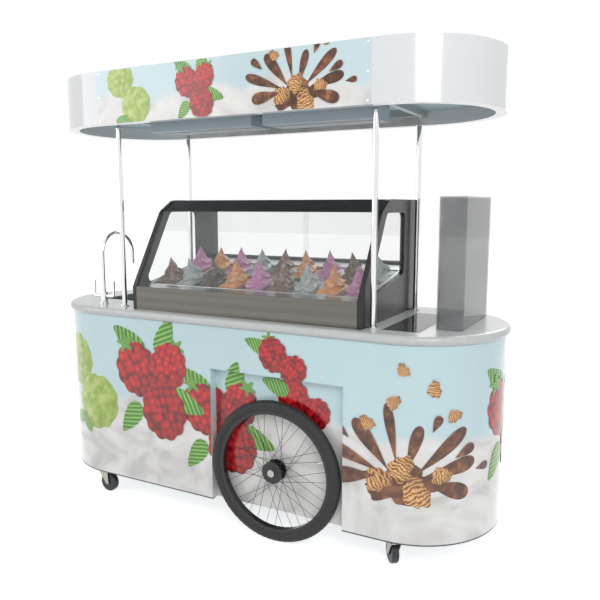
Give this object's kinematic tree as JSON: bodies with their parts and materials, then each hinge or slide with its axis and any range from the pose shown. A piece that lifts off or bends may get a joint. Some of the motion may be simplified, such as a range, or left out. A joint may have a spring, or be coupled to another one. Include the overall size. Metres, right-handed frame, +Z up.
{
  "type": "ice cream cart",
  "caption": "Long mobile ice cream counter with rounded ends, glazed display, sink and tap, canopy on posts, big spoked side wheels and swivel casters.",
  "frame": {"origin": "on the floor under the middle of the body", "axes": "+X along the counter to the end with the clear cabinet, -Y towards the customer, +Z up"},
  "size_m": [2.3876, 0.837, 2.159],
  "materials": {
    "printed_panel": "gloss printed film",
    "white_panel": "gloss",
    "counter_stone": "polished solid surface",
    "dark_trim": "satin",
    "inner_sheet": "satin",
    "chrome": "polished",
    "frame_steel": "satin",
    "lamp_white": "satin",
    "display_black": "satin",
    "graphite_steel": "brushed",
    "clear_glass": "clear",
    "smoke_acrylic": "smoked",
    "black_glass": "polished",
    "stainless": "brushed",
    "ice_cream": "soft matte",
    "tyre_rubber": "matte",
    "wheel_black": "gloss",
    "caster_steel": "zinc",
    "caster_rubber": "matte",
    "unit_grey": "satin"
  },
  "bodies": {
    "cart": {"body_end_left": "printed_panel", "body_end_right": "printed_panel", "front_panel_left": "printed_panel", "front_panel_over_bay": "printed_panel", "front_panel_right": "printed_panel", "rear_panel_left": "printed_panel", "rear_panel_over_bay": "printed_panel", "rear_panel_right": "printed_panel", "canopy_fascia_front": "printed_panel", "canopy_fascia_rear": "printed_panel", "wheel_bay_front": "printed_panel", "wheel_bay_rear": "printed_panel", "canopy_end_left": "white_panel", "canopy_end_right": "white_panel", "canopy_roof": "white_panel", "body_floor": "inner_sheet", "canopy_ceiling": "inner_sheet", "base_trim": "dark_trim", "countertop": "counter_stone", "canopy_posts": "chrome", "tap_base": "chrome", "canopy_frame": "frame_steel", "lamp_boxes": "lamp_white", "display_side_left": "display_black", "display_side_right": "display_black", "display_top": "display_black", "display_rear_frame": "display_black", "display_rear_header": "display_black", "display_front_panel": "graphite_steel", "display_side_glass": "clear_glass", "display_front_glass": "clear_glass", "display_deck": "stainless", "ice_cream_pans": "stainless", "sink_bowl": "stainless", "ice_cream": "ice_cream", "counter_glass_panel": "black_glass", "clear_cabinet": "smoke_acrylic", "cooling_unit": "unit_grey", "wheel_axles": "caster_steel", "caster_plates": "caster_steel"},
    "big_wheel_front": {"tyre_front": "tyre_rubber", "spoked_wheel_front": "wheel_black"},
    "big_wheel_rear": {"tyre_rear": "tyre_rubber", "spoked_wheel_rear": "wheel_black"},
    "left_storage_door": {"storage_door_left": "printed_panel"},
    "right_storage_door": {"storage_door_right": "printed_panel"},
    "left_sliding_door": {"display_door_left": "clear_glass"},
    "right_sliding_door": {"display_door_right": "clear_glass"},
    "spout": {"tap_spout": "chrome"},
    "caster_front_left": {"caster_fork_front_left": "caster_steel"},
    "caster_roller_front_left": {"caster_wheel_front_left": "caster_rubber"},
    "caster_front_right": {"caster_fork_front_right": "caster_steel"},
    "caster_roller_front_right": {"caster_wheel_front_right": "caster_rubber"},
    "caster_rear_left": {"caster_fork_rear_left": "caster_steel"},
    "caster_roller_rear_left": {"caster_wheel_rear_left": "caster_rubber"},
    "caster_rear_right": {"caster_fork_rear_right": "caster_steel"},
    "caster_roller_rear_right": {"caster_wheel_rear_right": "caster_rubber"}
  },
  "joints": [
    {"name": "big_wheel_front_spin", "type": "hinge", "parent": "cart", "child": "big_wheel_front", "pos_m": [0.26, -0.386, 0.33], "axis": [0, 1, 0], "continuous": true},
    {"name": "big_wheel_rear_spin", "type": "hinge", "parent": "cart", "child": "big_wheel_rear", "pos_m": [0.26, 0.386, 0.33], "axis": [0, 1, 0], "continuous": true},
    {"name": "caster_front_left_swivel", "type": "hinge", "parent": "cart", "child": "caster_front_left", "pos_m": [-0.82, -0.333, 0.112], "axis": [0, 0, 1], "continuous": true},
    {"name": "caster_front_left_roll", "type": "hinge", "parent": "caster_front_left", "child": "caster_roller_front_left", "pos_m": [-0.795, -0.333, 0.05], "axis": [0, 1, 0], "continuous": true},
    {"name": "caster_front_right_swivel", "type": "hinge", "parent": "cart", "child": "caster_front_right", "pos_m": [0.82, -0.333, 0.112], "axis": [0, 0, 1], "continuous": true},
    {"name": "caster_front_right_roll", "type": "hinge", "parent": "caster_front_right", "child": "caster_roller_front_right", "pos_m": [0.80461, -0.3133, 0.05], "axis": [-0.788, -0.6157, 0], "continuous": true},
    {"name": "caster_rear_left_swivel", "type": "hinge", "parent": "cart", "child": "caster_rear_left", "pos_m": [-0.82, 0.333, 0.112], "axis": [0, 0, 1], "continuous": true},
    {"name": "caster_rear_left_roll", "type": "hinge", "parent": "caster_rear_left", "child": "caster_roller_rear_left", "pos_m": [-0.84426, 0.33905, 0.05], "axis": [-0.2419, -0.9703, 0], "continuous": true},
    {"name": "caster_rear_right_swivel", "type": "hinge", "parent": "cart", "child": "caster_rear_right", "pos_m": [0.82, 0.333, 0.112], "axis": [0, 0, 1], "continuous": true},
    {"name": "caster_rear_right_roll", "type": "hinge", "parent": "caster_rear_right", "child": "caster_roller_rear_right", "pos_m": [0.83539, 0.3527, 0.05], "axis": [-0.788, 0.6157, 0], "continuous": true},
    {"name": "storage_door_left_hinge", "type": "hinge", "parent": "cart", "child": "left_storage_door", "pos_m": [-0.76, 0.399, 0.5], "axis": [0, 0, 1], "range_deg": [0, 110]},
    {"name": "storage_door_right_hinge", "type": "hinge", "parent": "cart", "child": "right_storage_door", "pos_m": [-0.112, 0.399, 0.5], "axis": [0, 0, -1], "range_deg": [0, 110]},
    {"name": "display_door_left_slide", "type": "slide", "parent": "cart", "child": "left_sliding_door", "axis": [1, 0, 0], "range_m": [0, 0.56]},
    {"name": "display_door_right_slide", "type": "slide", "parent": "cart", "child": "right_sliding_door", "axis": [-1, 0, 0], "range_m": [0, 0.56]},
    {"name": "tap_spout_swivel", "type": "hinge", "parent": "cart", "child": "spout", "pos_m": [-0.842, -0.272, 1.07], "axis": [0, 0, 1], "range_deg": [-70, 110]}
  ]
}
